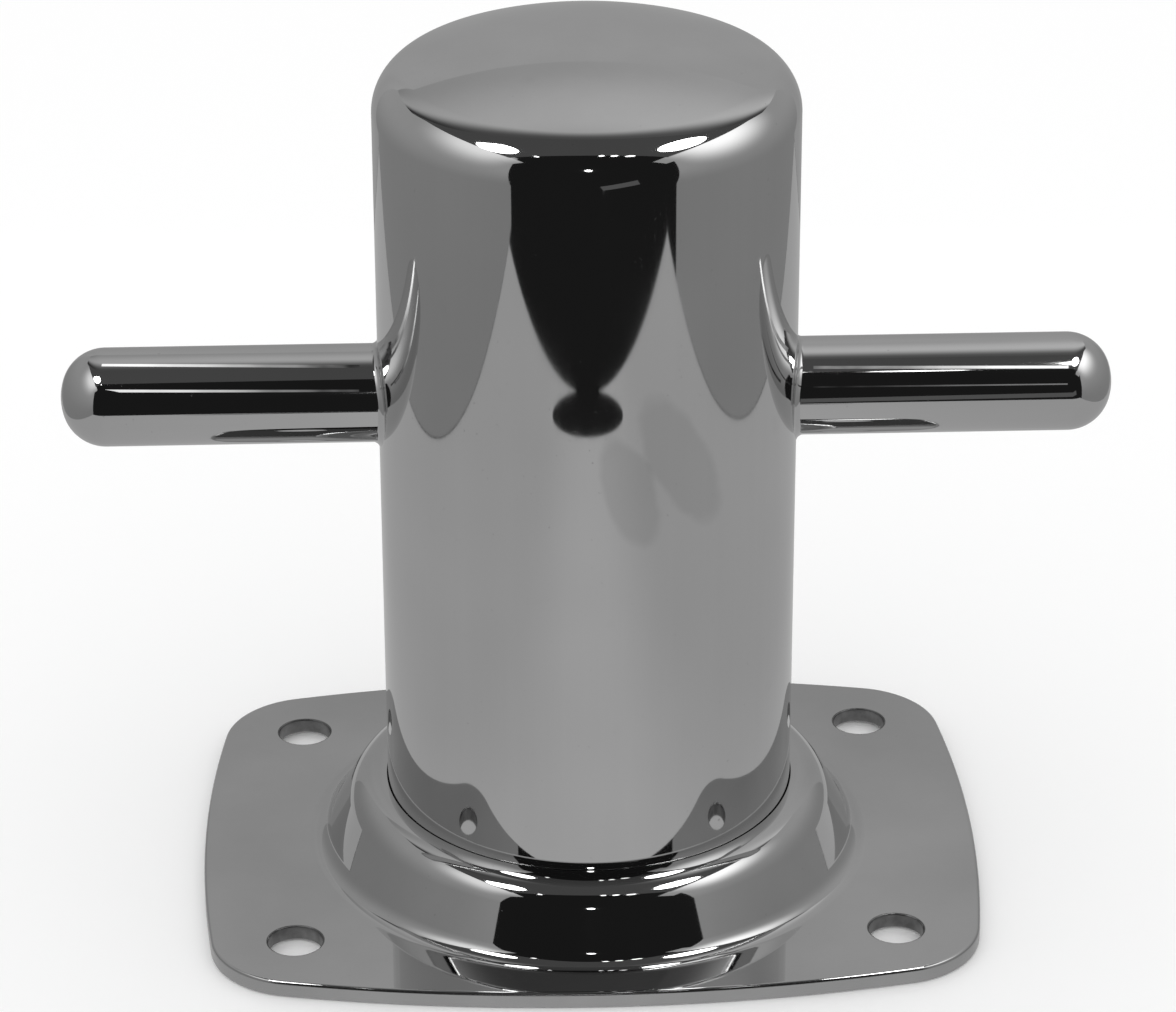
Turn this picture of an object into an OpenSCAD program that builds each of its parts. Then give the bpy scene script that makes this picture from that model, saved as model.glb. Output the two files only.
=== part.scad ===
// Single mooring bollard with a cross pin, welded up from polished stainless steel.
// Millimetres. +Z is up and Z = 0 is the deck. The post stands on the Z axis, the pin lies along X.

/* [Post] */
// Outside diameter of the post tube
tube_od = 76.1; // [60:0.1:114.3]
// Wall of the post tube and of its dished head
tube_wall = 3; // [2:0.1:4]
// Height of the post from the deck to the crown of its head
post_h = 164; // [136:1:220]
// Gap between the deck and the cut lower end of the tube
foot_gap = 2; // [1:0.5:5]

/* [Dished head] */
// Radius of the knuckle that turns the wall over into the crown
knuckle_r = 9; // [6:0.5:16]
// Radius of the shallow crown
crown_r = 88; // [70:1:140]
// Straight skirt of the head below its knuckle
skirt_h = 4; // [4:0.5:12]

/* [Cross pin] */
// Diameter of the round bar
pin_d = 18; // [14:0.5:22]
// Length of the bar over both noses
pin_len = 191; // [150:1:240]
// Height of the bar's axis above the deck
pin_z = 95; // [75:1:115]
// Radius that rounds the rim of each nose
nose_edge_r = 8; // [3:0.25:8.5]
// Radius of the dome on each nose
nose_crown_r = 11; // [10:0.5:30]

/* [Base flange] */
// Thickness of the pressed plate
plate_t = 3; // [2:0.25:4]
// Plate left beyond the foot of the boss, along X
margin_x = 20; // [19:0.5:30]
// Plate left beyond the foot of the boss, along Y
margin_y = 6; // [5:0.5:20]
// Radius of the bowed front and back edges
long_edge_r = 280; // [200:10:500]
// Radius of the bowed left and right edges
short_edge_r = 300; // [200:10:500]
// Radius of the plate's corners
corner_r = 17; // [10:0.5:20]

/* [Boss] */
// Height of the boss's crest above the deck
boss_h = 16; // [14:0.5:24]
// Distance from the tube's wall out to the foot of the boss
boss_run = 15; // [12:0.5:20]
// Radius of the boss's rounded shoulder
shoulder_r = 7.5; // [4.5:0.25:8]
// Radius of the fillet where the boss meets the plate
foot_r = 4.5; // [2:0.25:5]
// Flat crest between the opening and the shoulder
crest_w = 0.7; // [0.5:0.1:2]

/* [Bolt holes] */
// Diameter of the four holes
hole_d = 10; // [6.5:0.1:11]
// Distance of each hole's centre from the plate's left or right edge
hole_in_x = 18; // [12:0.5:19]
// Distance of each hole's centre from the plate's front or back edge
hole_in_y = 20; // [12:0.5:22]
// How far the upper rim of each hole is broken
hole_rim = 0.3; // [0.2:0.1:0.8]

/* [Fits and welds] */
// Clearance all round the tube in the flange, and all round the pin in the tube
fit_gap = 0.15; // [0.1:0.05:0.5]
// Leg of the fillet weld under the flange
foot_weld_leg = 4; // [3:0.5:6]
// Leg of the dressed weld round each root of the pin
pin_weld_leg = 1.5; // [1:0.1:3]
// Root gap of the butt weld between the tube and its head
butt_gap = 1; // [0.5:0.1:2]
// Angle that each edge of that joint is bevelled by
bevel_angle = 30; // [20:1:35]
// Height of its root bead inside the tube
bead_h = 0.8; // [0.5:0.1:1.5]

/* [Hidden] */
$fn = 128;
// Facets of the crown's circle, so that the short arc of it in use stays smooth.
crown_fn = 720;
// How far a cutter reaches past what it cuts.
past = 1;
// Flat plate round the foot of the boss that is turned with it.
land = 1;

tube_r = tube_od / 2;
bore_r = tube_r - tube_wall;
pin_r = pin_d / 2;
// A thinner or thicker bar keeps a nose that closes.
nose_rim = min(nose_edge_r, pin_r - 0.5);
nose_dome = max(nose_crown_r, pin_r + 1);
opening_r = tube_r + fit_gap;
foot_circle_r = tube_r + boss_run;
land_r = foot_circle_r + land;

plate_w = 2 * (foot_circle_r + margin_x);
plate_d = 2 * (foot_circle_r + margin_y);
hole_x = plate_w / 2 - hole_in_x;
hole_y = plate_d / 2 - hole_in_y;

// A dished end is a crown of radius rc that a knuckle rk blends into a wall of radius r.
// Its depth above the wall, and the distance from the axis where knuckle and crown meet:
function dish_depth(r, rk, rc) = rc - sqrt(pow(rc - rk, 2) - pow(r - rk, 2));
function dish_join(r, rk, rc) = (r - rk) * rc / (rc - rk);

knuckle_z = post_h - dish_depth(tube_r, knuckle_r, crown_r);
joint_z = knuckle_z - skirt_h;
bevel_h = tube_wall * tan(bevel_angle);

// The boss's slope is the line that leaves its convex shoulder and enters its concave foot.
shoulder_c = [opening_r + crest_w, boss_h - shoulder_r];
foot_c = [foot_circle_r, plate_t + foot_r];
boss_span = foot_c - shoulder_c;
slope_angle = atan2(boss_span[1], boss_span[0]) + acos((shoulder_r + foot_r) / norm(boss_span));
slope_out = [cos(slope_angle), sin(slope_angle)];

// Centres of the circles that bow the back and right edges, and of the corner circle that
// touches both from inside.
back_c = [0, plate_d / 2 - long_edge_r];
right_c = [plate_w / 2 - short_edge_r, 0];
back_reach = long_edge_r - corner_r;
right_reach = short_edge_r - corner_r;
edge_span = norm(right_c - back_c);
edge_dir = (right_c - back_c) / edge_span;
along = (pow(back_reach, 2) - pow(right_reach, 2) + pow(edge_span, 2)) / (2 * edge_span);
aside = sqrt(pow(back_reach, 2) - pow(along, 2));
corner_c = back_c + along * edge_dir + aside * [edge_dir[1], -edge_dir[0]];
// Directions in which the corner circle touches the right edge and the back edge.
right_turn = atan2(corner_c[1], corner_c[0] - right_c[0]);
back_turn = atan2(corner_c[1] - back_c[1], corner_c[0]);
edge_steps = 24;
corner_steps = 16;
boss_steps = 10;

// Points on an arc, each end included.
function arc(c, r, from, to, steps) =
    [for (i = [0:steps]) let (a = from + (to - from) * i / steps) c + r * [cos(a), sin(a)]];
// The same without its last point, for an arc that the next one starts from.
function open_arc(c, r, from, to, steps) =
    arc(c, r, from, to + (from - to) / steps, steps - 1);
function half_turned(points) = [for (p = points) -p];
function turned_round(points) = [for (i = [len(points) - 1:-1:0]) points[i]];

// The boss's surface from its crest to its foot, or that surface sunk by a wall's thickness.
function boss_line(sink) = concat(
    arc(shoulder_c, shoulder_r - sink, 90, slope_angle, boss_steps),
    arc(foot_c, foot_r + sink, 180 + slope_angle, 270, boss_steps));

mirror_steel = [0.62, 0.62, 0.63];
weld_steel = [0.42, 0.40, 0.38];

// Half-section of a dished end: its wall springs at height zs and is cut off at zb.
module dish_section(r, rk, rc, zs, zb) {
    top = zs + dish_depth(r, rk, rc);
    intersection() {
        translate([0, zb]) square([r, top - zb]);
        union() {
            translate([0, zb]) square([r, zs - zb]);
            translate([r - rk, zs]) circle(rk);
            intersection() {
                translate([0, top - rc]) circle(rc, $fn = crown_fn);
                square([dish_join(r, rk, rc), top + past]);
            }
        }
    }
}

// Half-section of the pressed boss, outside the opening for the tube.
module boss_shell_section() {
    polygon(concat([[opening_r, boss_h]], boss_line(0), [[land_r, plate_t], [land_r, 0]],
                   turned_round(boss_line(plate_t)), [[opening_r, boss_h - plate_t]]));
}

// Plate seen from above: four bowed edges with rounded corners. The front left half is the back
// right half, turned round.
module plate_outline() {
    half = concat(
        open_arc(right_c, short_edge_r, -right_turn, right_turn, edge_steps),
        open_arc(corner_c, corner_r, right_turn, back_turn, corner_steps),
        open_arc(back_c, long_edge_r, back_turn, 180 - back_turn, edge_steps),
        open_arc([-corner_c[0], corner_c[1]], corner_r, 180 - back_turn, 180 - right_turn, corner_steps));
    polygon(concat(half, half_turned(half)));
}

module base_flange() {
    color(mirror_steel) difference() {
        union() {
            linear_extrude(plate_t) difference() {
                plate_outline();
                circle(land_r);
            }
            rotate_extrude() boss_shell_section();
        }
        for (sx = [-1, 1], sy = [-1, 1])
            translate([sx * hole_x, sy * hole_y, 0]) {
                translate([0, 0, -past]) cylinder(h = plate_t + 2 * past, d = hole_d);
                translate([0, 0, plate_t - hole_rim])
                    cylinder(h = 2 * hole_rim, d1 = hole_d, d2 = hole_d + 4 * hole_rim);
            }
    }
}

module post_tube() {
    root_z = joint_z - butt_gap / 2;
    color(mirror_steel) difference() {
        rotate_extrude()
            polygon([[bore_r, foot_gap], [tube_r, foot_gap], [tube_r, root_z - bevel_h], [bore_r, root_z]]);
        translate([-tube_od, 0, pin_z]) rotate([0, 90, 0]) cylinder(h = 2 * tube_od, r = pin_r + fit_gap);
    }
}

module head_cap() {
    root_z = joint_z + butt_gap / 2;
    color(mirror_steel) rotate_extrude() difference() {
        dish_section(tube_r, knuckle_r, crown_r, knuckle_z, root_z);
        dish_section(bore_r, knuckle_r - tube_wall, crown_r - tube_wall, knuckle_z, root_z - past);
        polygon([[bore_r, root_z], [tube_r, root_z + bevel_h], [tube_r + past, root_z + bevel_h],
                 [tube_r + past, root_z - past], [bore_r, root_z - past]]);
    }
}

// V-groove weld between the tube and its head, dressed flush outside, with its root bead inside.
module head_weld() {
    half = butt_gap / 2;
    reach = butt_gap + bead_h;
    bead_r = (pow(reach, 2) + pow(bead_h, 2)) / (2 * bead_h);
    color(weld_steel) rotate_extrude() translate([0, joint_z]) {
        polygon([[bore_r, -half], [tube_r, -half - bevel_h], [tube_r, half + bevel_h], [bore_r, half]]);
        intersection() {
            translate([bore_r - bead_h + bead_r, 0]) circle(bead_r);
            translate([bore_r - bead_h, -reach]) square([bead_h, 2 * reach]);
        }
    }
}

// Fillet weld under the flange, in the corner between the tube and the boss's inner side.
module foot_weld() {
    top = boss_h - plate_t;
    color(weld_steel) rotate_extrude() intersection() {
        polygon(concat([[0, top]], boss_line(plate_t), [[0, 0]]));
        polygon([[tube_r, top], [tube_r, top - foot_weld_leg], [tube_r + foot_weld_leg, top]]);
    }
}

module cross_pin() {
    half_len = pin_len / 2;
    spring = half_len - dish_depth(pin_r, nose_rim, nose_dome);
    color(mirror_steel) translate([0, 0, pin_z]) rotate([0, 90, 0]) rotate_extrude()
        for (m = [0, 1]) mirror([0, m]) dish_section(pin_r, nose_rim, nose_dome, spring, 0);
}

// Dressed weld round the pin where it leaves the tube: a cone that the tube's wall cuts to a saddle.
module pin_weld(side) {
    tip = tube_r + pin_weld_leg;
    deep = pin_weld_leg + pin_r;
    color(weld_steel) mirror([side < 0 ? 1 : 0, 0, 0]) difference() {
        translate([tip - deep, 0, pin_z]) rotate([0, 90, 0]) cylinder(h = deep, r1 = pin_r + deep, r2 = pin_r);
        translate([0, 0, pin_z]) rotate([0, 90, 0]) cylinder(h = pin_len, r = pin_r);
        translate([0, 0, pin_z - tube_od]) cylinder(h = 2 * tube_od, r = tube_r);
    }
}

module pin_weld_left() pin_weld(-1);
module pin_weld_right() pin_weld(1);

base_flange();
post_tube();
head_cap();
cross_pin();
head_weld();
foot_weld();
pin_weld_left();
pin_weld_right();
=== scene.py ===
# %% [markdown]
# # A polished mooring bollard
#
# A bollard is the post on a boat's deck that mooring lines are wound round. This one is welded up from four
# pieces of stainless steel: a pressed flange that is bolted to the deck, a tube, a dished head that closes
# the tube, and a round pin through it that keeps the line from riding up. All of it is polished to a
# mirror.
#
# The engineering model comes in as a fixed frame: it says where every piece is and how big it is. This
# notebook builds the pieces that are seen, as clean smooth meshes on that frame, and gives them their
# finish. A mirror has no colour of its own to hide behind. What the eye reads is the bending of its
# reflections, so the work is in two places: surfaces whose normals are right, and a room that is worth
# reflecting.

# %% Load the frame
import math
from math import cos, degrees, pi, radians, sin, sqrt, tan

import bmesh
import bpy
from mathutils import Matrix, Vector


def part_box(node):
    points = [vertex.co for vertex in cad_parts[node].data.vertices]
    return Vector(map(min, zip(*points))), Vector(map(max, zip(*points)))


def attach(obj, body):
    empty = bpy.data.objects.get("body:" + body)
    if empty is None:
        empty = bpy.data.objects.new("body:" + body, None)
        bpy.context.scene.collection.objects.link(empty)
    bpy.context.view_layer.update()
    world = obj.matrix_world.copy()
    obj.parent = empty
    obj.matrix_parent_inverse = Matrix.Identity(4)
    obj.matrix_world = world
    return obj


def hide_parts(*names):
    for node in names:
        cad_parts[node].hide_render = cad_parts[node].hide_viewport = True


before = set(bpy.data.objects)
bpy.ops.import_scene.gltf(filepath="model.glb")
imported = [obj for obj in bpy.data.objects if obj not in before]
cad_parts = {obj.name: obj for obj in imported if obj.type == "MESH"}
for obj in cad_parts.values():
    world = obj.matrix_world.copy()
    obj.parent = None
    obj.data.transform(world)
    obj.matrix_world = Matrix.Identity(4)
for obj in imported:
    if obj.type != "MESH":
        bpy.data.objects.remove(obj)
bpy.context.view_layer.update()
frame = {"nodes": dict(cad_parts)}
MM = 0.001

print("nodes:", ", ".join(frame["nodes"]))

# %% [markdown]
# ## Measures
#
# Every overall size is read from the frame's boxes, so that the meshes follow the model if it is made
# bigger. Only what a box can't tell is written here: wall thicknesses and the radii of rounded parts.

# %% Sizes taken from the frame
tube_low, tube_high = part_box("post_tube")
pin_low, pin_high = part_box("cross_pin")
butt_low, butt_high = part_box("head_weld")
flange_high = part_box("base_flange")[1]
head_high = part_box("head_cap")[1]

tube_r = tube_high.x
post_top = head_high.z
pin_r = pin_high.y
pin_z = (pin_low.z + pin_high.z) / 2
pin_half = pin_high.x
boss_top = flange_high.z
print(f"tube radius {tube_r / MM:.2f}, pin radius {pin_r / MM:.2f}, post height {post_top / MM:.1f} mm")

# %% Walls and radii that a box can't tell
wall = 3 * MM
plate_t = 3 * MM
fit_gap = 0.15 * MM

knuckle_r, crown_r = 9 * MM, 88 * MM
nose_edge_r, nose_crown_r = 8 * MM, 11 * MM

boss_run = 15 * MM
shoulder_r, foot_r, crest_w = 7.5 * MM, 4.5 * MM, 0.7 * MM

long_edge_r, short_edge_r, corner_r = 280 * MM, 300 * MM, 17 * MM
hole_r, hole_in_x, hole_in_y = 5 * MM, 18 * MM, 20 * MM

butt_gap, bevel_angle, bead_h = 1 * MM, radians(30), 0.8 * MM
foot_weld_leg, pin_weld_leg = 4 * MM, 1.5 * MM

bore_r = tube_r - wall
plate_x, plate_y = flange_high.x, flange_high.y
hole_x, hole_y = plate_x - hole_in_x, plate_y - hole_in_y

# %% [markdown]
# ## Drawing a section and turning it
#
# Nearly every piece here is a solid of revolution, as it would come off a lathe or a spinning chuck. So
# each starts as a section: a chain of straight lines and arcs in the plane y = 0. An arc is a single vertex
# spun round the arc's centre, and the piece is the whole chain spun round the piece's own axis. The small
# class below holds the chain's last vertex, so a section reads as a list of moves.

# %% A pen that draws sections
ROUND = 256
UP, ACROSS = Vector((0, 0, 1)), Vector((0, 1, 0))


class Pen:
    """Draws a chain of edges in a bmesh, one move at a time."""

    def __init__(self, bm, start):
        self.bm = bm
        self.first = self.last = bm.verts.new(start)

    def line(self, *points):
        for point in points:
            nib = self.bm.verts.new(point)
            self.bm.edges.new((self.last, nib))
            self.last = nib
        return self

    def arc(self, centre, angle, steps, axis=ACROSS):
        ring = bmesh.ops.spin(self.bm, geom=[self.last], cent=centre, axis=axis, angle=angle, steps=steps)
        self.last = next(item for item in ring["geom_last"] if isinstance(item, bmesh.types.BMVert))
        return self

    def close(self):
        self.bm.edges.new((self.last, self.first))
        return self


def turn(bm, finish=0, steps=ROUND, centre=(0, 0, 0)):
    """Spins the chains drawn so far once round Z, gives their faces a finish, and closes the poles."""
    drawn = [edge for edge in bm.edges if edge.is_wire]
    nibs = dict.fromkeys(nib for edge in drawn for nib in edge.verts)
    older = set(bm.faces)
    bmesh.ops.spin(bm, geom=[*nibs, *drawn], cent=centre, axis=UP, angle=2 * pi, steps=steps, use_merge=True)
    paint(bm, older, finish)
    bmesh.ops.remove_doubles(bm, verts=bm.verts, dist=0.0005 * MM)


def paint(bm, older, finish):
    """Gives the faces that aren't among the older ones the material with that number."""
    for face in bm.faces:
        if face not in older:
            face.material_index = finish


# %% Turning a bmesh into a finished piece
SHARP = radians(28)
# Places in a piece's list of materials.
POLISHED, RAW, DRILLED, SHEARED = range(4)


def finish_piece(bm, name, *materials):
    """Makes the object: outward normals, smooth faces, and edges sharper than SHARP kept crisp."""
    bmesh.ops.recalc_face_normals(bm, faces=bm.faces)
    for face in bm.faces:
        face.smooth = True
    mesh = bpy.data.meshes.new(name)
    bm.to_mesh(mesh)
    bm.free()
    mesh.set_sharp_from_angle(angle=SHARP)
    piece = bpy.data.objects.new(name, mesh)
    bpy.context.scene.collection.objects.link(piece)
    for material in materials:
        mesh.materials.append(material)
    open_edges = sum(1 for edge in mesh_edges(mesh) if edge < 2)
    print(f"{name}: {len(mesh.polygons)} faces, {open_edges} open edges")
    return piece


def mesh_edges(mesh):
    """How many faces meet at each edge."""
    count = {}
    for polygon in mesh.polygons:
        for key in polygon.edge_keys:
            count[key] = count.get(key, 0) + 1
    return count.values()


def even_normals(piece):
    """Lets the large flat or straight faces decide the normals where they meet a rounding."""
    weigh = piece.modifiers.new("even normals", "WEIGHTED_NORMAL")
    weigh.keep_sharp = True
    weigh.weight = 50


# %% [markdown]
# ## Shader maths as Python
#
# A finish is a sum of small effects: a haze here, a rub mark there. Written as nodes alone that is a long
# list of boxes. The class below wraps one output socket, so that `haze * 0.3 + grain` adds the Math nodes
# by itself. Any other node comes from `node`.

# %% One wrapped socket
class Feed:
    """An output socket that can be added, multiplied and so on."""

    tree = None

    def __init__(self, socket):
        self.socket = socket

    @classmethod
    def node(cls, kind, settings=None, sockets=None, out=0):
        """Adds a node. Its settings are set first, then the values or links of its sockets."""
        made = cls.tree.nodes.new(kind)
        for name, value in (settings or {}).items():
            setattr(made, name, value)
        for name, value in (sockets or {}).items():
            if isinstance(value, Feed):
                cls.tree.links.new(value.socket, made.inputs[name])
            else:
                made.inputs[name].default_value = value
        return cls(made.outputs[out])

    def math(self, operation, *others):
        return Feed.node("ShaderNodeMath", {"operation": operation}, dict(enumerate((self, *others))))

    def __add__(self, other):
        return self.math("ADD", other)

    __radd__ = __add__

    def __mul__(self, other):
        return self.math("MULTIPLY", other)

    def __sub__(self, other):
        return self.math("SUBTRACT", other)


# %% [markdown]
# ## The steel
#
# Polished stainless steel is nearly a perfect mirror, a little darker than silver. Three small faults make
# it real. The buffing wheel leaves the surface gently wavy, which wobbles the edges of every reflection. It
# also leaves hairlines that are too fine to see one by one, but that haze the highlights. And hands leave
# smears, which are duller and darker than the clean metal. All three come from noise in object coordinates,
# so they stay on the metal from every side.

# %% Polished steel
STEEL_GREY = 0.60


def new_finish(name, fill):
    """Makes a material whose surface is what fill() returns."""
    material = bpy.data.materials.new(name)
    material.use_nodes = True
    tree = material.node_tree
    tree.nodes.clear()
    Feed.tree = tree
    surface = fill()
    sheet = tree.nodes.new("ShaderNodeOutputMaterial")
    tree.links.new(surface.socket, sheet.inputs["Surface"])
    print(f"{name}: {len(tree.nodes)} nodes")
    return material


def metal_place(scale=(1, 1, 1)):
    """Object coordinates, stretched for a pattern that runs along one axis."""
    here = Feed.node("ShaderNodeTexCoord", out=3)
    return Feed.node("ShaderNodeMapping", {"vector_type": "POINT"}, {"Vector": here, "Scale": scale})


def noise(place, scale, detail=2.0, rough=0.5):
    """Noise from 0 to 1 at a place."""
    return Feed.node("ShaderNodeTexNoise", {"noise_dimensions": "3D"},
                     {"Vector": place, "Scale": scale, "Detail": detail, "Roughness": rough})


def above(value, low, high):
    """A soft step: 0 under low, 1 over high."""
    return Feed.node("ShaderNodeMapRange", {"interpolation_type": "SMOOTHSTEP"},
                     {"Value": value, "From Min": low, "From Max": high})


def bumped(height, depth, below=None):
    """A normal bent by a height from 0 to 1 that stands for depth metres."""
    sockets = {"Height": height, "Strength": 1.0, "Distance": depth}
    if below is not None:
        sockets["Normal"] = below
    return Feed.node("ShaderNodeBump", {}, sockets)


def grey(value):
    """The same number in all three channels of a colour."""
    return Feed.node("ShaderNodeCombineColor", {}, dict.fromkeys(("Red", "Green", "Blue"), value))


def metal(shade, roughness, normal):
    return Feed.node("ShaderNodeBsdfPrincipled", {},
                     {"Base Color": grey(shade), "Metallic": 1.0, "Roughness": roughness, "Normal": normal})


def finger_mark(centre, lean, half_long, half_wide):
    """A smear as a finger leaves it: 1 along its middle, 0 outside, with a ragged soft edge."""
    here = Feed.node("ShaderNodeTexCoord", out=3)
    placed = Feed.node("ShaderNodeMapping", {"vector_type": "TEXTURE"},
                       {"Vector": here, "Location": centre, "Rotation": (0, lean, 0),
                        "Scale": (half_wide, 4 * half_wide, half_long)})
    inside = Feed.node("ShaderNodeTexGradient", {"gradient_type": "SPHERICAL"}, {"Vector": placed}, out=1)
    return above(inside + (noise(here, 130.0, 2.0, 0.5) - 0.5) * 0.35, 0.05, 0.3)


def polished(stretch, wave_depth, marks=(), cloud=0.09):
    """Mirror steel with cloudy haze, hairlines stretched as the wheel ran, and the smears in marks."""
    def fill():
        here = metal_place()
        haze = noise(here, 26.0, 2.0, 0.5)
        hairlines = noise(metal_place(stretch), 900.0, 2.0, 0.6)
        streaks = noise(metal_place(stretch), 120.0, 3.0, 0.65)
        specks = above(noise(here, 1300.0, 1.0), 0.76, 0.8)
        shade = STEEL_GREY + (haze - 0.56) * cloud + (streaks - 0.5) * 0.04 - specks * 0.06
        dullness = 0.032 + above(haze, 0.4, 0.75) * 0.02 + (hairlines - 0.5) * 0.02 + specks * 0.1
        for centre, lean, half_long, half_wide in marks:
            smear = finger_mark(centre, lean, half_long, half_wide)
            shade = shade - smear * 0.07
            dullness = dullness + smear * 0.03
        waves = bumped(noise(here, 34.0, 1.0, 0.4), wave_depth)
        return metal(shade, dullness, bumped(hairlines, 1.5e-7, waves))
    return fill


# Each smear's centre, its lean from upright, its half length and its half width.
finger_marks = ((Vector((6.2, -37, 92)) * MM, radians(-17), 13 * MM, 5.5 * MM),
                (Vector((15.0, -35, 97)) * MM, radians(-24), 17 * MM, 6.0 * MM))

post_steel = new_finish("polished_post", polished((1, 1, 0.04), 1.6e-5, finger_marks))
pin_steel = new_finish("polished_pin", polished((0.04, 1, 1), 5e-6))
flange_steel = new_finish("polished_flange", polished((1, 1, 1), 2.2e-5, cloud=0.20))

# %% [markdown]
# The mirror stops where nobody looks. The inside of the tube and the underside of the flange keep the dull
# skin they had in the rolling mill, and the walls of the bolt holes show the drill's rings and stains over a
# very dark colour that is painted shade inside the holes. The weld beads that stay hidden carry patches of
# dark oxide, which are rougher than the metal round them.

# %% Unpolished steel and weld metal
def mill_skin():
    here = metal_place()
    patches = noise(here, 45.0, 4.0, 0.6)
    grain = noise(metal_place((1, 1, 0.12)), 700.0, 3.0, 0.6)
    return metal(0.30 + patches * 0.16 + (grain - 0.5) * 0.08, 0.36 + patches * 0.14,
                 bumped(grain, 6e-6))


def drilled_and_shaded_wall():
    rings = noise(metal_place((1, 1, 9)), 260.0, 3.0, 0.65)
    stains_and_shade = noise(metal_place(), 320.0, 3.0, 0.6)
    # A very dark base colour stands as painted shade inside the bolt holes; the noise over it adds stains.
    return metal(0.06 + stains_and_shade * 0.28, 0.28 + rings * 0.25, bumped(rings, 1.5e-5))


def sheared_edge():
    lines = noise(metal_place((0.2, 0.2, 3)), 420.0, 3.0, 0.6)
    patches = noise(metal_place(), 60.0, 3.0, 0.6)
    return metal(0.44 + patches * 0.12, 0.16 + lines * 0.12, bumped(lines, 1.2e-6))


def weld_bead():
    here = metal_place()
    stain = noise(here, 90.0, 3.0, 0.6)
    oxide = above(noise(here, 240.0, 3.0, 0.6), 0.5, 0.62)
    return metal(0.34 + stain * 0.2 - oxide * 0.12, 0.24 + oxide * 0.24, bumped(stain, 2e-5))


inner_steel = new_finish("mill_skin", mill_skin)
hole_steel_with_shade = new_finish("drilled_and_shaded_wall", drilled_and_shaded_wall)
edge_steel = new_finish("plate_edge", sheared_edge)
bead_steel = new_finish("weld_bead", weld_bead)
dressed_steel = new_finish("dressed_weld", polished((1, 1, 1), 4e-5))

# %% [markdown]
# ## The head
#
# A dished end is pressed from flat plate. Two radii describe it: a small one, the knuckle, turns the wall
# over, and a large one makes the shallow crown. They share a tangent, so the joint is smooth to the touch,
# but the curvature jumps there from 9 to 88 mm. In a mirror that jump is plain to see: the crown shows one
# large calm patch of the room, and the knuckle squeezes all the rest into a narrow band of highlights.

# %% The dished head
def dish(radius, knuckle, crown):
    """Depth of a dished end, and the angle that its knuckle turns through."""
    rise = sqrt((crown - knuckle) ** 2 - (radius - knuckle) ** 2)
    return crown - rise, math.atan2(rise, radius - knuckle)


def draw_dish(pen, radius, knuckle, crown, spring):
    """Draws from the top of a straight wall at height spring to the pole of the dome."""
    depth, turned = dish(radius, knuckle, crown)
    pen.arc((radius - knuckle, 0, spring), -turned, 24)
    pen.arc((0, 0, spring + depth - crown), -(pi / 2 - turned), 32)


head_depth = dish(tube_r, knuckle_r, crown_r)[0]
knuckle_z = post_top - head_depth
joint_z = (butt_low.z + butt_high.z) / 2
bevel_h = wall * tan(bevel_angle)
root = butt_gap / 2
print(f"the head is {head_depth / MM:.2f} mm deep, and its seam is {joint_z / MM:.2f} mm above the deck")


def make_head():
    bm = bmesh.new()
    outside = Pen(bm, (bore_r, 0, joint_z + root))
    outside.line((tube_r, 0, joint_z + root + bevel_h), (tube_r, 0, knuckle_z))
    draw_dish(outside, tube_r, knuckle_r, crown_r, knuckle_z)
    turn(bm, POLISHED)
    inside = Pen(bm, (bore_r, 0, joint_z + root)).line((bore_r, 0, knuckle_z))
    draw_dish(inside, bore_r, knuckle_r - wall, crown_r - wall, knuckle_z)
    turn(bm, RAW)
    return finish_piece(bm, "dished_head", post_steel, inner_steel)


head = make_head()
even_normals(head)
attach(head, "root")
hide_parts("head_cap")

# %% [markdown]
# ## The tube
#
# The tube is two straight lines spun round, and a mirror shows any facet, so the work is in the two holes
# for the pin. A boolean cuts them, with a plain cylinder as the cutter. A cut leaves long thin faces
# behind, whose shading goes wrong all the way up the wall. Rings of edges close above and below the holes
# keep that damage where the weld hides it.

# %% The tube with its two pin holes
def applied(piece):
    """Makes the piece's modifiers part of its mesh."""
    shaped = piece.evaluated_get(bpy.context.evaluated_depsgraph_get())
    plain = piece.data
    piece.data = bpy.data.meshes.new_from_object(shaped)
    piece.data.name = plain.name
    piece.modifiers.clear()
    bpy.data.meshes.remove(plain)


def heights(low, high, steps):
    return [low + (high - low) * step / steps for step in range(steps + 1)]


def make_tube():
    foot = tube_low.z
    hole_reach = pin_r + pin_weld_leg
    bm = bmesh.new()
    outside = Pen(bm, (bore_r, 0, foot)).line((tube_r, 0, foot))
    outside.line(*((tube_r, 0, z) for z in heights(pin_z - hole_reach, pin_z + hole_reach, 14)))
    outside.line((tube_r, 0, joint_z - root - bevel_h), (bore_r, 0, joint_z - root))
    turn(bm, POLISHED)
    inside = Pen(bm, (bore_r, 0, foot))
    inside.line(*((bore_r, 0, z) for z in heights(pin_z - hole_reach, pin_z + hole_reach, 14)))
    inside.line((bore_r, 0, joint_z - root))
    turn(bm, RAW)
    tube = finish_piece(bm, "post_wall", post_steel, inner_steel)
    drill(tube, pin_r + fit_gap, pin_z)
    tube.data.set_sharp_from_angle(angle=SHARP)
    return tube


def drill(tube, radius, z):
    """Cuts a round hole along X through both walls."""
    bm = bmesh.new()
    along_x = Matrix.Translation((0, 0, z)) @ Matrix.Rotation(pi / 2, 4, "Y")
    bmesh.ops.create_cone(bm, cap_ends=True, segments=96, radius1=radius, radius2=radius, depth=3 * tube_r,
                          matrix=along_x)
    cutter = finish_piece(bm, "pin_hole_cutter", inner_steel)
    cut = tube.modifiers.new("pin holes", "BOOLEAN")
    cut.object = cutter
    cut.solver = "EXACT"
    cut.operation = "DIFFERENCE"
    applied(tube)
    bpy.data.objects.remove(cutter)
    print("faces after drilling:", len(tube.data.polygons))


tube = make_tube()
even_normals(tube)
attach(tube, "root")
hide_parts("post_tube")

# %% [markdown]
# The head is butt welded to the tube in a V groove, and the weld is ground flush and polished until it
# can't be seen. From inside, the root bead still stands proud. So this ring is a plain trapezium outside,
# and an arc inside.

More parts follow.
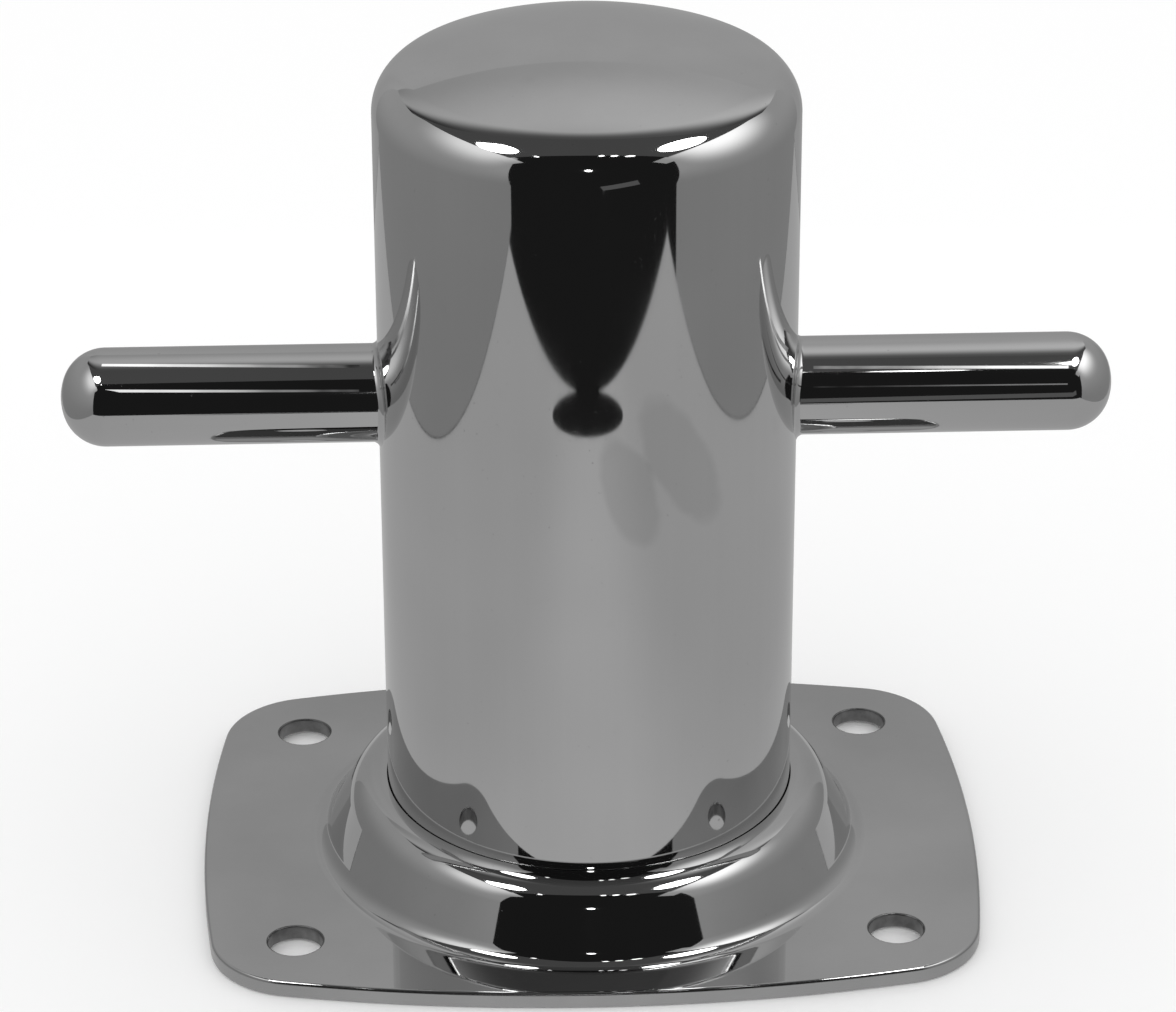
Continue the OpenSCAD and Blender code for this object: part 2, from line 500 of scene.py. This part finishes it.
# %% The seam under the head
def make_seam():
    reach = butt_gap + bead_h
    bead_r = (reach ** 2 + bead_h ** 2) / (2 * bead_h)
    lean = math.asin(reach / bead_r)
    bm = bmesh.new()
    face = Pen(bm, (bore_r, 0, joint_z - root))
    face.line((tube_r, 0, joint_z - root - bevel_h), (tube_r, 0, joint_z + root + bevel_h),
              (bore_r, 0, joint_z + root))
    turn(bm, POLISHED)
    bead = Pen(bm, (bore_r, 0, joint_z - root)).line((bore_r, 0, joint_z - reach))
    bead.arc((bore_r - bead_h + bead_r, 0, joint_z), 2 * lean, 10).line((bore_r, 0, joint_z + root))
    turn(bm, RAW)
    return finish_piece(bm, "head_seam", post_steel, bead_steel)


seam = make_seam()
even_normals(seam)
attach(seam, "root")
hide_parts("head_weld")

# %% [markdown]
# ## The pin
#
# One round bar runs through both walls. Its noses are domes with a rounded rim, so a line can't be cut on
# them: the same dished section as the head, only smaller and rounder. The bar is drawn standing up, laid
# along X and mirrored.

# %% The cross pin
def make_pin():
    bm = bmesh.new()
    spring = pin_half - dish(pin_r, nose_edge_r, nose_crown_r)[0]
    half = Pen(bm, (pin_r, 0, 0)).line((pin_r, 0, tube_r), (pin_r, 0, spring))
    draw_dish(half, pin_r, nose_edge_r, nose_crown_r, spring)
    turn(bm, POLISHED, steps=160)
    bmesh.ops.rotate(bm, verts=bm.verts, cent=(0, 0, 0), matrix=Matrix.Rotation(pi / 2, 3, "Y"))
    bmesh.ops.mirror(bm, geom=[*bm.verts, *bm.edges, *bm.faces], axis="X", merge_dist=0.001 * MM)
    bmesh.ops.translate(bm, verts=bm.verts, vec=(0, 0, pin_z))
    return finish_piece(bm, "cross_bar", pin_steel)


pin = make_pin()
even_normals(pin)
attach(pin, "root")
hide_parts("cross_pin")

# %% [markdown]
# Where the pin leaves the tube, a narrow weld goes all the way round. It has been ground to a smooth
# hollow, so it reads as one thin bright line. The root of a round bar in a round wall isn't flat but a
# saddle. It is easiest to turn the ring as if the wall were flat, and then push each point back by as much
# as the wall curves away.

# %% The two welds round the pin
def make_pin_weld(side, name):
    dressed = 0.7
    leg, sunk = pin_weld_leg * dressed, 0.05 * MM
    hollow_r = 1.35 * leg
    reach = sqrt(2) * leg / 2
    lean = math.asin(reach / hollow_r)
    inset = sqrt(hollow_r ** 2 - reach ** 2)
    middle = Vector((pin_r + leg / 2, 0, leg / 2)) + Vector((1, 0, 1)).normalized() * inset
    bm = bmesh.new()
    ring = Pen(bm, (pin_r - sunk, 0, -sunk)).line((pin_r - sunk, 0, leg), (pin_r, 0, leg))
    ring.arc(middle, -2 * lean, 8).line((pin_r + leg, 0, -sunk))
    ring.line((pin_r - sunk, 0, -sunk))
    turn(bm, 0, steps=192)
    bmesh.ops.rotate(bm, verts=bm.verts, cent=(0, 0, 0), matrix=Matrix.Rotation(pi / 2, 3, "Y"))
    for vert in bm.verts:
        vert.co.x += sqrt(tube_r ** 2 - vert.co.y ** 2)
    bmesh.ops.scale(bm, verts=bm.verts, vec=(side, 1, 1))
    bmesh.ops.translate(bm, verts=bm.verts, vec=(0, 0, pin_z))
    return finish_piece(bm, name, dressed_steel)


for side, name, node in ((-1, "pin_root_left", "pin_weld_left"), (1, "pin_root_right", "pin_weld_right")):
    ring = make_pin_weld(side, name)
    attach(ring, "root")
    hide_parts(node)

# %% [markdown]
# ## The flange
#
# The flange is pressed from 3 mm plate: a flat rim with bowed edges, and in its middle a round boss that
# swells up to the tube. The rim could be modelled as one slab with everything else cut out of it by
# booleans, but a mirror would show every stray edge. Here its parts are made apart and then joined: the cut
# edge of the plate, four hole walls, and the boss as one spun ribbon. What is left open is flat, and one
# fill at each height closes it.

# %% The outline of the plate
def meeting(back_c, back_reach, right_c, right_reach):
    """The centre of the corner circle, which touches the back and right edges from inside."""
    span = right_c - back_c
    along = (back_reach ** 2 - right_reach ** 2 + span.length_squared) / (2 * span.length)
    aside = sqrt(back_reach ** 2 - along ** 2)
    ahead = span.normalized()
    return back_c + ahead * along + Vector((ahead.y, -ahead.x, 0)) * aside


right_c = Vector((plate_x - short_edge_r, 0, 0))
back_c = Vector((0, plate_y - long_edge_r, 0))
corner_c = meeting(back_c, long_edge_r - corner_r, right_c, short_edge_r - corner_r)
to_right = math.atan2(corner_c.y, corner_c.x - right_c.x)
to_back = math.atan2(corner_c.y - back_c.y, corner_c.x)
print(f"corners turn from {degrees(to_right):.1f} to {degrees(to_back):.1f} degrees")


def draw_outline(bm, z):
    """The closed outline at height z, anticlockwise from the front end of the right edge."""
    start = right_c + Vector((cos(to_right), -sin(to_right), 0)) * short_edge_r
    pen = Pen(bm, (start.x, start.y, z))
    for turned in (1, -1):
        near_corner = Vector((-corner_c.x, corner_c.y, 0)) * turned
        pen.arc(right_c * turned, 2 * to_right, 40, UP)
        pen.arc(corner_c * turned, to_back - to_right, 24, UP)
        pen.arc(back_c * turned, pi - 2 * to_back, 48, UP)
        pen.arc(near_corner, to_back - to_right, 24, UP)
    bmesh.ops.remove_doubles(bm, verts=bm.verts, dist=0.001 * MM)


# %% The cut edge, the bolt holes and the boss
def add_cut_edge(bm):
    """The plate's side, with its upper edge rounded by polishing and its lower edge just broken."""
    draw_outline(bm, 0)
    under = bmesh.ops.contextual_create(bm, geom=bm.edges[:])["faces"][0]
    raised = bmesh.ops.extrude_face_region(bm, geom=[under], use_keep_orig=True)["geom"]
    upper = [item for item in raised if isinstance(item, bmesh.types.BMVert)]
    bmesh.ops.translate(bm, verts=upper, vec=(0, 0, plate_t))
    caps = [face for face in bm.faces if len(face.verts) > 4]
    paint(bm, set(caps), SHEARED)
    caps.sort(key=lambda face: -face.calc_center_median().z)
    for cap, rounding, steps in zip(caps, (0.7 * MM, 0.3 * MM), (6, 2)):
        bmesh.ops.bevel(bm, geom=list(cap.edges), offset=rounding, segments=steps, profile=0.5,
                        affect="EDGES", material=-1)
    bmesh.ops.delete(bm, geom=[face for face in bm.faces if len(face.verts) > 8], context="FACES_ONLY")


def add_bolt_hole(bm, x, y):
    rim = 0.35 * MM
    wall_line = Pen(bm, (x + hole_r + rim, y, 0)).line((x + hole_r, y, rim), (x + hole_r, y, plate_t - rim))
    wall_line.arc((x + hole_r + rim, y, plate_t - rim), pi / 2, 5)
    turn(bm, DRILLED, steps=96, centre=(x, y, 0))


shoulder_c = Vector((tube_r + fit_gap + crest_w, 0, boss_top - shoulder_r))
foot_c = Vector((tube_r + boss_run, 0, plate_t + foot_r))
boss_span = foot_c - shoulder_c
slope = math.atan2(boss_span.z, boss_span.x) + math.acos((shoulder_r + foot_r) / boss_span.length)
slope_out = Vector((cos(slope), 0, sin(slope)))
land_r = foot_c.x + 0.4 * MM
print(f"the boss's slope faces {degrees(slope):.1f} degrees above the deck")


def add_boss(bm):
    """The pressed boss: foot fillet, slope, shoulder and crest, and its inside a plate's thickness in."""
    opening_r, brim = tube_r + fit_gap, 0.12 * MM
    sunk_top, quarter = boss_top - plate_t, pi / 2 - slope
    outside = Pen(bm, (land_r, 0, plate_t)).line((foot_c.x, 0, plate_t))
    outside.arc(foot_c, quarter, 14)
    outside.line(shoulder_c + slope_out * shoulder_r).arc(shoulder_c, -quarter, 18)
    outside.line((opening_r + brim, 0, boss_top)).arc((opening_r + brim, 0, boss_top - brim), -pi / 2, 4)
    turn(bm, POLISHED)
    inside = Pen(bm, (opening_r, 0, boss_top - brim))
    inside.line((opening_r, 0, sunk_top), (shoulder_c.x, 0, sunk_top))
    inside.arc(shoulder_c, quarter, 8)
    inside.line(foot_c - slope_out * (foot_r + plate_t)).arc(foot_c, -quarter, 14)
    inside.line((land_r, 0, 0))
    turn(bm, RAW)


def fill_flat(bm, z, finish):
    """Closes the flat part between all open rims at height z."""
    older = set(bm.faces)
    rims = [edge for edge in bm.edges
            if edge.is_boundary and all(abs(vert.co.z - z) < 0.001 * MM for vert in edge.verts)]
    bmesh.ops.triangle_fill(bm, use_beauty=True, use_dissolve=False, edges=rims, normal=UP)
    paint(bm, older, finish)


def make_flange():
    bm = bmesh.new()
    add_cut_edge(bm)
    for x in (-hole_x, hole_x):
        for y in (-hole_y, hole_y):
            add_bolt_hole(bm, x, y)
    add_boss(bm)
    fill_flat(bm, plate_t, POLISHED)
    fill_flat(bm, 0, RAW)
    return finish_piece(bm, "pressed_flange", flange_steel, inner_steel, hole_steel_with_shade, edge_steel)


flange = make_flange()
even_normals(flange)
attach(flange, "root")
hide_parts("base_flange")

# %% [markdown]
# The post is welded to the flange from below, where it doesn't show and needn't be dressed. A hand-laid
# fillet has ripples, one for each time the welder moved on, so the hollow face is pushed in and out by a
# sine on the way round.

# %% The weld under the flange
RIPPLES = 90


def make_foot_weld():
    top = boss_top - plate_t
    start = Vector((tube_r, 0, top - foot_weld_leg))
    sunk_r = shoulder_r - plate_t
    climb = (sunk_r - slope_out.dot(start - shoulder_c)) / slope_out.dot(Vector((1, 0, 1)))
    end = start + Vector((climb, 0, climb))
    bm = bmesh.new()
    face = Pen(bm, start).line(*(start.lerp(end, step / 6) for step in range(1, 7)))
    face.line(shoulder_c + slope_out * sunk_r).arc(shoulder_c, -(pi / 2 - slope), 6)
    face.line((tube_r, 0, top), start)
    turn(bm, 0, steps=360)
    for vert in bm.verts:
        away = vert.co.xy.length
        over = (away - start.x) / climb
        on_face = abs((vert.co.z - start.z) - (away - start.x)) < 0.01 * MM
        if on_face and 0.05 < over < 0.95:
            around = math.atan2(vert.co.y, vert.co.x)
            ripple = 0.5 + 0.5 * sin(RIPPLES * around + 3 * sin(5 * around) - 2.5 * over)
            dent = sin(pi * over) * (0.25 + 0.3 * ripple) * MM
            vert.co += Vector((-vert.co.x / away, -vert.co.y / away, 1)) * dent
    return finish_piece(bm, "foot_bead", bead_steel)


foot_bead = make_foot_weld()
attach(foot_bead, "root")
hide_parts("foot_weld")

# %% [markdown]
# ## The room
#
# A mirror is lit by what stands round it. Small shiny things are usually set in a tent: a cube of white
# cloth, about half a metre wide, with lamps above a slot in its roof and an open front where the camera
# looks in. The tent shows on the steel as even pale grey, the dark room in front as black, and the lamps as
# white spots. Each of these is a glowing card that only reflections can see, so the floor and background
# stay plain.

# %% Cards that only reflections see
tilt = radians(-1.9)
room = Matrix.Rotation(tilt, 4, "Z")


def glow(name, strength, texture=None):
    """An emitting material, as even as paper or with a texture of its own."""
    def fill():
        if texture is None:
            return Feed.node("ShaderNodeEmission", {}, {"Color": (1, 1, 1, 1), "Strength": strength})
        return Feed.node("ShaderNodeEmission", {}, {"Color": grey(texture() * strength), "Strength": 1.0})
    return new_finish(name, fill)


def card(name, material, corner, side_a, side_b):
    """A flat card in the tent's own frame, from one corner along two sides."""
    corner, side_a, side_b = Vector(corner), Vector(side_a), Vector(side_b)
    bm = bmesh.new()
    pen = Pen(bm, corner).line(corner + side_a, corner + side_a + side_b, corner + side_b)
    pen.close()
    bmesh.ops.contextual_create(bm, geom=bm.edges[:])
    return hang(bm, name, material)


def hang(bm, name, material):
    """Puts a card in the room, seen only by reflections."""
    bmesh.ops.transform(bm, matrix=room, verts=bm.verts)
    mesh = bpy.data.meshes.new(name)
    bm.to_mesh(mesh)
    bm.free()
    mesh.materials.append(material)
    piece = bpy.data.objects.new(name, mesh)
    bpy.context.scene.collection.objects.link(piece)
    piece.visible_camera = piece.visible_diffuse = piece.visible_transmission = piece.visible_shadow = False
    return piece


def spot(name, material, centre, half_a, half_b):
    """An oval card round a centre, with its half sides."""
    centre, half_a, half_b = Vector(centre), Vector(half_a), Vector(half_b)
    bm = bmesh.new()
    bmesh.ops.create_circle(bm, cap_ends=True, segments=48, radius=1)
    for vert in bm.verts:
        vert.co = centre + half_a * vert.co.x + half_b * vert.co.y
    return hang(bm, name, material)


# %% The tent's cloth
left, right, back = -0.233, 0.243, 0.30
front, front_left, front_right = -0.2795, -0.292, -0.238
middle, half_width = (left + right) / 2, (right - left) / 2
crown_z, eaves_z = 0.40, 0.287
floor_drop = 0.2 * MM


def lit_from(lamp, extra, upper):
    """Cloth that is duller low down, as bright as upper from half its height, and has extra by its lamp."""
    lower = 0.68 * upper

    def texture():
        here = Feed.node("ShaderNodeTexCoord", out=3)
        away = Feed.node("ShaderNodeVectorMath", {"operation": "DISTANCE"}, {0: here, 1: lamp}, out=1)
        return fall(height_of(here), 0.0, 0.24, lower, upper) + fall(away, 0.02, 0.22, extra, 0.0)
    return texture


def fall(value, start, end, near, far):
    """A smooth change from near to far as a value goes from start to end."""
    return Feed.node("ShaderNodeMapRange", {"interpolation_type": "SMOOTHERSTEP"},
                     {"Value": value, "From Min": start, "From Max": end, "To Min": near, "To Max": far})


def height_of(place):
    return Feed.node("ShaderNodeSeparateXYZ", {}, {"Vector": place}, out=2)


def sideways_of(place):
    return Feed.node("ShaderNodeSeparateXYZ", {}, {"Vector": place}, out=0)


def fading_roof():
    """The roof's cloth is dark at the slot, brightest some way behind it, and brighter to the right."""
    behind = Feed.node("ShaderNodeAttribute", {"attribute_name": "from_slot"}, out=2)
    sideways = sideways_of(Feed.node("ShaderNodeTexCoord", out=3))
    middle_tone = fall(behind, 0.0, 0.42, 0.10, 0.6) - fall(behind, 0.3, 1.0, 0.0, 0.17)
    return middle_tone * (1 + sideways * 0.8) - fall(sideways.math("ABSOLUTE"), 0.12, 0.24, 0.0, 0.05)


def floor_glow_with_bright_lane():
    """The floor's glowing cloth, with a brighter lane of painted light in front of the post."""
    sideways = sideways_of(Feed.node("ShaderNodeTexCoord", out=3))
    return fall(sideways.math("ABSOLUTE"), 0.0, 0.13, 0.53, 0.45)


def back_wall_glow():
    """The back wall glows a little brighter upwards, with faint painted light and shade of folds on a flat
    card.
    """
    here = Feed.node("ShaderNodeTexCoord", out=3)
    drawn_up = Feed.node("ShaderNodeMapping", {}, {"Vector": here, "Scale": (1, 1, 0.25)})
    fold_light_and_shade = noise(drawn_up, 14.0, 2.0, 0.5)
    return fall(height_of(here), 0.0, 0.4, 0.36, 0.46) + (fold_light_and_shade - 0.5) * 0.05


left_lamp, right_lamp = Vector((-0.158, -0.107, 0.332)), Vector((0.160, -0.086, 0.336))
left_cloth = glow("left_cloth", 1.0, lit_from(Vector((-0.21, -0.10, 0.36)), 0.8, 0.40))
right_cloth = glow("right_cloth", 1.0, lit_from(Vector((0.24, -0.05, 0.34)), 1.3, 0.41))
back_cloth = glow("back_cloth", 1.0, back_wall_glow)
floor_cloth = glow("tent_floor", 1.0, floor_glow_with_bright_lane)
roof_cloth = glow("tent_roof", 1.0, fading_roof)
slot_dark = glow("slot_dark", 0.085)
lamp_light = glow("lamp_light", 9.0)
window_light = glow("window_light", 4.0)
faint_light = glow("faint_light", 0.12)
room_dark = glow("room_dark", 0.014)

card("tent_left", left_cloth, (left, front_left, 0), (0, back - front_left, 0), (0, 0, crown_z))
card("tent_right", right_cloth, (right, front_right, 0), (0, back - front_right, 0), (0, 0, crown_z))
card("tent_back", back_cloth, (left, back, 0), (right - left, 0, 0), (0, 0, crown_z))
card("tent_ground", floor_cloth, (left, front, -2 * floor_drop), (right - left, 0, 0), (0, back - front, 0))

# %% [markdown]
# The roof of the tent is arched, and a slot is cut across its front half for the lamps. The slot's edge
# curves back towards the walls. A grid is bent to both: each vertex is placed by its share of the way
# across and along.

# %% The arched roof and its slot
slot_back, slot_sweep, slot_front, slot_thin = -0.016, 0.160, -0.188, 0.018
slot_shut, slot_taper, shoulder_from = 0.95, 0.12, 0.8


def roof_height(across):
    return crown_z - (crown_z - eaves_z) * across ** 2


def arched(name, material, near_edge, far_edge, ways=(-1, 1)):
    """A sheet of the arched roof between two edges, each a function of the way across from -1 to 1."""
    bm = bmesh.new()
    bmesh.ops.create_grid(bm, x_segments=32, y_segments=6, size=1)
    along = bm.verts.layers.float.new("from_slot")
    for vert in bm.verts:
        share = (vert.co.y + 1) / 2
        across = ways[0] + (ways[1] - ways[0]) * (vert.co.x + 1) / 2
        vert[along] = share
        near, far = near_edge(across), far_edge(across)
        vert.co = (middle + across * half_width, near + (far - near) * share, roof_height(across))
    return hang(bm, name, material)


def slot_edge(across):
    return slot_back + slot_sweep * across ** 6


def slot_near_edge(across):
    """The slot is open between the lamps and closes to a thin line beside them."""
    open_share = min(1, max(0, (slot_shut - abs(across)) / slot_taper)) ** 2
    return slot_edge(across) - slot_thin - (slot_edge(across) - slot_front) * open_share


arched("roof_behind_slot", roof_cloth, slot_edge, lambda across: back)
arched("roof_slot", slot_dark, slot_near_edge, slot_edge)
arched("left_shoulder", left_cloth, lambda across: front, slot_near_edge, (-1, -shoulder_from))
arched("right_shoulder", right_cloth, lambda across: front, slot_near_edge, (shoulder_from, 1))

# %% The lamps, the windows and the floor's dark oval
def facing(name, material, centre, half_wide, half_high):
    """An oval card that faces the top of the post."""
    towards = (centre - Vector((0, -0.02, 0.15))).normalized()
    wide = towards.cross(UP).normalized()
    return spot(name, material, centre, wide * half_wide, wide.cross(towards) * half_high)


def floor_oval(name, material, near, far, half_turn):
    """A patch on the floor that is bent round the post, between two distances from its front."""
    bm = bmesh.new()
    bmesh.ops.create_circle(bm, cap_ends=True, segments=48, radius=1)
    for vert in bm.verts:
        away = (near + far) / 2 + vert.co.y * (far - near) / 2
        turned = half_turn * vert.co.x
        vert.co = (away * sin(turned), -tube_r - away * cos(turned), -floor_drop)
    return hang(bm, name, material)


facing("left_lamp", lamp_light, left_lamp, 0.048, 0.036)
facing("right_lamp", lamp_light, right_lamp, 0.058, 0.036)
for place, half in ((0.034, 0.007), (0.064, 0.009), (0.102, 0.013), (-0.120, 0.007)):
    below_roof = roof_height(place / half_width) - 4 * MM
    spot("window", window_light, (place, -0.208, below_roof), (half, 0, 0), (0, 0.010, 0))
facing("camera_flash", lamp_light, Vector((0.012, -0.90, 0.50)), 0.030, 0.030)
card("shelf_edge", faint_light, (0.10, -0.7, -0.12), (0.20, 0.1, 0.12), (-0.02, 0, 0.11))
floor_oval("oval_on_the_floor", room_dark, 0.2172, 0.2430, radians(20.5))

# %% [markdown]
# A buffed bar has hairlines running round it, and they draw each light out along the bar. Two thin strips
# beside each half of the pin give those drawn-out lines without the cost of an anisotropic finish.

# %% Streaks along the pin
off_axis = pin_r + 2.5 * MM
reach_in, reach_out = tube_r + 3 * MM, pin_half - 8 * MM
upper_rise, lower_rise = radians(54), radians(23)


def streak(name, side, strength, rise, thick):
    """A thin glowing strip just off one half of the pin, at an angle of rise from the deck."""
    def texture():
        here = Feed.node("ShaderNodeTexCoord", out=3)
        outwards = fall(sideways_of(here).math("ABSOLUTE"), reach_in, reach_out, 0.12, 1.0)
        return outwards + (noise(here, 160.0, 2.0) - 0.5) * 0.5
    corner = Vector((side * reach_in, -cos(rise) * off_axis, pin_z + sin(rise) * off_axis))
    along = (side * (reach_out - reach_in), 0, 0)
    card(name, glow(name, strength, texture), corner, along, (0, sin(rise) * thick, cos(rise) * thick))


streak("left_upper_streak", -1, 1.6, upper_rise, 1.0 * MM)
streak("left_lower_streak", -1, 1.3, lower_rise, 0.5 * MM)
streak("right_upper_streak", 1, 1.8, upper_rise, 1.0 * MM)
streak("right_lower_streak", 1, 0.3, lower_rise, 0.5 * MM)

# %% The dark room outside the tent
shell = bmesh.new()
bmesh.ops.create_icosphere(shell, subdivisions=3, radius=3)
hang(shell, "dark_room", room_dark)

# %% [markdown]
# The floor that the camera sees is a plain pale sheet, lit from all round by a white sky. It leaves the
# soft shadow that ties the flange to the ground.

# %% Floor and sky
def pale_sheet():
    return Feed.node("ShaderNodeBsdfPrincipled", {}, {"Base Color": (0.93, 0.93, 0.93, 1), "Roughness": 0.9})


floor_bm = bmesh.new()
bmesh.ops.create_grid(floor_bm, x_segments=1, y_segments=1, size=6)
bmesh.ops.translate(floor_bm, verts=floor_bm.verts, vec=(0, 0, -floor_drop))
floor = finish_piece(floor_bm, "pale_floor", new_finish("pale_sheet", pale_sheet))
floor.visible_glossy = False

world = bpy.data.worlds.new("white_sky")
world.use_nodes = True
world.node_tree.nodes["Background"].inputs["Color"].default_value = (1, 1, 1, 1)
world.node_tree.nodes["Background"].inputs["Strength"].default_value = 1.1
scene = bpy.context.scene
scene.world = world
scene.view_settings.view_transform = "Standard"

# %% The camera
aim = Vector((0, 0, 0.0712))
distance, elevation, lean = 0.8292, radians(26.36), radians(-0.18)
eye = aim + distance * Vector((sin(tilt) * cos(elevation), -cos(tilt) * cos(elevation), sin(elevation)))
lens = bpy.data.cameras.new("camera")
lens.lens = 137.8
lens.sensor_width = 36
camera = bpy.data.objects.new("camera", lens)
scene.collection.objects.link(camera)
camera.matrix_world = (Matrix.Translation(eye) @ (aim - eye).to_track_quat("-Z", "Y").to_matrix().to_4x4()
                       @ Matrix.Rotation(lean, 4, "Z"))
scene.camera = camera
print(f"camera {distance * 1000:.0f} mm away, {degrees(elevation):.1f} degrees up")
